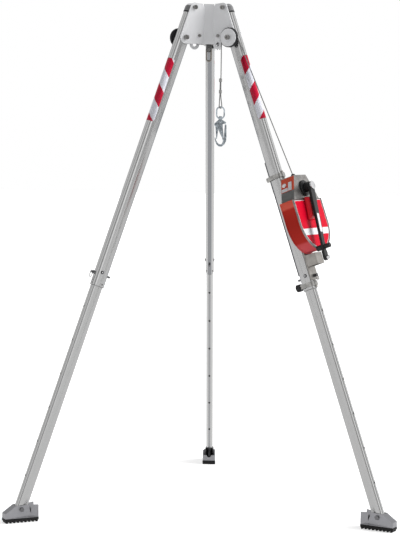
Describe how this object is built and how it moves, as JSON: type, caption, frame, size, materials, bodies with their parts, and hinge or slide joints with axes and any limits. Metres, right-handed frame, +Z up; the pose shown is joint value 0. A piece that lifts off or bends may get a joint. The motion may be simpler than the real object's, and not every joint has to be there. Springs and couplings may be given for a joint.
{
  "type": "rescue tripod",
  "caption": "Telescopic-leg rescue tripod with a plate head, cable sheaves, a leg-mounted hand winch, a wire lifeline and a snap hook.",
  "frame": {"origin": "On the ground at the middle of the box round the soles", "axes": "+Z up, the rear leg runs towards +Y and the winch is on the leg at +X, -Y"},
  "size_m": [1.815, 1.5718, 2.4136],
  "materials": {
    "plate": "mill finish",
    "bolt": "zinc plated",
    "wheel": "black nylon",
    "forging": "zinc plated",
    "tube": "anodised",
    "cap": "grey plastic",
    "guide": "black plastic",
    "foot_sheet": "grey sheet",
    "sole": "black rubber",
    "rope": "galvanised wire rope",
    "bracket": "brushed",
    "black_plastic": "black plastic",
    "winch_red": "red paint",
    "winch_metal": "cast",
    "gear": "turned steel",
    "crank_black": "black paint"
  },
  "bodies": {
    "head": {"front_head_plate": "plate", "left_head_plate": "plate", "right_head_plate": "plate", "pivot_bolts": "bolt", "plate_bolts": "bolt", "sheave_discs": "plate", "anchor_hub": "forging", "anchor_pin": "bolt", "lifeline_wrap": "rope", "lifeline_drop": "rope"},
    "left_leg": {"left_upper_leg": "tube", "left_leg_cap": "cap", "left_knee_guide": "guide"},
    "left_pin": {"left_lock_pin": "bolt"},
    "left_shank": {"left_lower_leg": "tube"},
    "left_foot": {"left_foot_bracket": "foot_sheet", "left_foot_sole": "sole", "left_foot_bolt": "bolt"},
    "left_wheel": {"left_sheave": "wheel"},
    "right_leg": {"right_upper_leg": "tube", "right_leg_cap": "cap", "right_knee_guide": "guide", "winch_bracket": "bracket", "leg_straps": "bracket", "backing_strip": "black_plastic", "winch_housing": "winch_red", "winch_cover": "winch_metal", "outlet_block": "winch_red", "cable_nozzle": "black_plastic", "gear_casing": "winch_metal", "brake_cover": "winch_red", "lifeline_run": "rope"},
    "right_pin": {"right_lock_pin": "bolt"},
    "right_shank": {"right_lower_leg": "tube"},
    "right_foot": {"right_foot_bracket": "foot_sheet", "right_foot_sole": "sole", "right_foot_bolt": "bolt"},
    "right_wheel": {"right_sheave": "wheel"},
    "rear_leg": {"rear_upper_leg": "tube", "rear_leg_cap": "cap", "rear_knee_guide": "guide"},
    "rear_pin": {"rear_lock_pin": "bolt"},
    "rear_shank": {"rear_lower_leg": "tube"},
    "rear_foot": {"rear_foot_bracket": "foot_sheet", "rear_foot_sole": "sole", "rear_foot_bolt": "bolt"},
    "rear_wheel": {"rear_sheave": "wheel"},
    "anchor_link": {"anchor_link": "forging"},
    "rope_end": {"lifeline_loop": "rope", "lifeline_ferrules": "rope", "hook_eye": "forging"},
    "hook": {"hook_body": "forging"},
    "gate": {"hook_gate": "forging"},
    "lever": {"hook_lever": "forging"},
    "knob": {"clamp_knob": "black_plastic"},
    "drum": {"cable_drum": "gear", "wound_cable": "rope"},
    "crank": {"drive_pinion": "gear", "crank_arm": "crank_black"},
    "grip": {"crank_grip": "black_plastic"}
  },
  "joints": [
    {"name": "left_leg_fold", "type": "hinge", "parent": "head", "child": "left_leg", "pos_m": [-0.11994, -0.31793, 2.24883], "axis": [0.5, -0.866, 0], "range_deg": [0, 20.3]},
    {"name": "left_pin_pull", "type": "slide", "parent": "left_leg", "child": "left_pin", "axis": [-0.8122, -0.4689, 0.3469], "range_m": [0, 0.085]},
    {"name": "left_leg_slide", "type": "slide", "parent": "left_leg", "child": "left_shank", "axis": [0.3005, 0.1735, 0.9379], "range_m": [0, 0.99]},
    {"name": "left_foot_tilt", "type": "hinge", "parent": "left_shank", "child": "left_foot", "pos_m": [-0.82668, -0.72597, 0.06], "axis": [0.5, -0.866, 0], "range_deg": [-15, 15]},
    {"name": "left_sheave_spin", "type": "hinge", "parent": "head", "child": "left_wheel", "pos_m": [-0.14144, -0.28069, 2.24883], "axis": [0.5, -0.866, 0], "continuous": true},
    {"name": "right_leg_fold", "type": "hinge", "parent": "head", "child": "right_leg", "pos_m": [0.11994, -0.31793, 2.24883], "axis": [0.5, 0.866, 0], "range_deg": [0, 20.3]},
    {"name": "right_pin_pull", "type": "slide", "parent": "right_leg", "child": "right_pin", "axis": [0.8122, -0.4689, 0.3469], "range_m": [0, 0.085]},
    {"name": "right_leg_slide", "type": "slide", "parent": "right_leg", "child": "right_shank", "axis": [-0.3005, 0.1735, 0.9379], "range_m": [0, 0.99]},
    {"name": "right_foot_tilt", "type": "hinge", "parent": "right_shank", "child": "right_foot", "pos_m": [0.82668, -0.72597, 0.06], "axis": [0.5, 0.866, 0], "range_deg": [-15, 15]},
    {"name": "right_sheave_spin", "type": "hinge", "parent": "head", "child": "right_wheel", "pos_m": [0.09845, -0.35517, 2.24883], "axis": [-0.5, -0.866, 0], "range_deg": [0, 952.71]},
    {"name": "rear_leg_fold", "type": "hinge", "parent": "head", "child": "rear_leg", "pos_m": [0, -0.11018, 2.24883], "axis": [-1, 0, 0], "range_deg": [0, 20.3]},
    {"name": "rear_pin_pull", "type": "slide", "parent": "rear_leg", "child": "rear_pin", "axis": [0, 0.9379, 0.3469], "range_m": [0, 0.085]},
    {"name": "rear_leg_slide", "type": "slide", "parent": "rear_leg", "child": "rear_shank", "axis": [0, -0.3469, 0.9379], "range_m": [0, 0.99]},
    {"name": "rear_foot_tilt", "type": "hinge", "parent": "rear_shank", "child": "rear_foot", "pos_m": [0, 0.70589, 0.06], "axis": [-1, 0, 0], "range_deg": [-15, 15]},
    {"name": "rear_sheave_spin", "type": "hinge", "parent": "head", "child": "rear_wheel", "pos_m": [0.043, -0.11018, 2.24883], "axis": [-1, 0, 0], "continuous": true},
    {"name": "anchor_swing", "type": "hinge", "parent": "head", "child": "anchor_link", "pos_m": [0, -0.24868, 2.19583], "axis": [0, 1, 0], "range_deg": [-45, 45]},
    {"name": "drum_spin", "type": "hinge", "parent": "right_leg", "child": "drum", "pos_m": [0.46831, -0.51906, 1.38045], "axis": [-0.8122, 0.4689, -0.3469], "range_deg": [0, 405]},
    {"name": "crank_spin", "type": "hinge", "parent": "right_leg", "child": "crank", "pos_m": [0.41941, -0.49083, 1.53309], "axis": [-0.8122, 0.4689, -0.3469], "range_deg": [-1164.38, 0]},
    {"name": "grip_spin", "type": "hinge", "parent": "crank", "child": "grip", "pos_m": [0.528, -0.61962, 1.27771], "axis": [-0.8122, 0.4689, -0.3469], "continuous": true},
    {"name": "knob_turn", "type": "hinge", "parent": "right_leg", "child": "knob", "pos_m": [0.45226, -0.5098, 1.08465], "axis": [-0.8122, 0.4689, -0.3469], "range_deg": [0, 360]},
    {"name": "hook_lower", "type": "slide", "parent": "head", "child": "rope_end", "axis": [0, 0, -1], "range_m": [0, 0.69838], "deforming": ["lifeline_drop"]},
    {"name": "hook_swivel", "type": "hinge", "parent": "rope_end", "child": "hook", "pos_m": [0.06207, -0.33417, 1.86413], "axis": [0, 0, 1], "continuous": true},
    {"name": "gate_open", "type": "hinge", "parent": "hook", "child": "gate", "pos_m": [0.04457, -0.33417, 1.83713], "axis": [0, -1, 0], "range_deg": [0, 18], "stiffness_Nm_per_rad": 0.1},
    {"name": "lever_squeeze", "type": "hinge", "parent": "hook", "child": "lever", "pos_m": [0.08607, -0.33417, 1.78013], "axis": [0, -1, 0], "range_deg": [0, 6], "stiffness_Nm_per_rad": 0.1}
  ],
  "couplings": [
    {"joint": "crank_spin", "follows": "drum_spin", "ratio": -2.875},
    {"joint": "right_sheave_spin", "follows": "drum_spin", "ratio": 2.3524},
    {"joint": "hook_lower", "follows": "drum_spin", "m_per_rad": 0.0988}
  ]
}
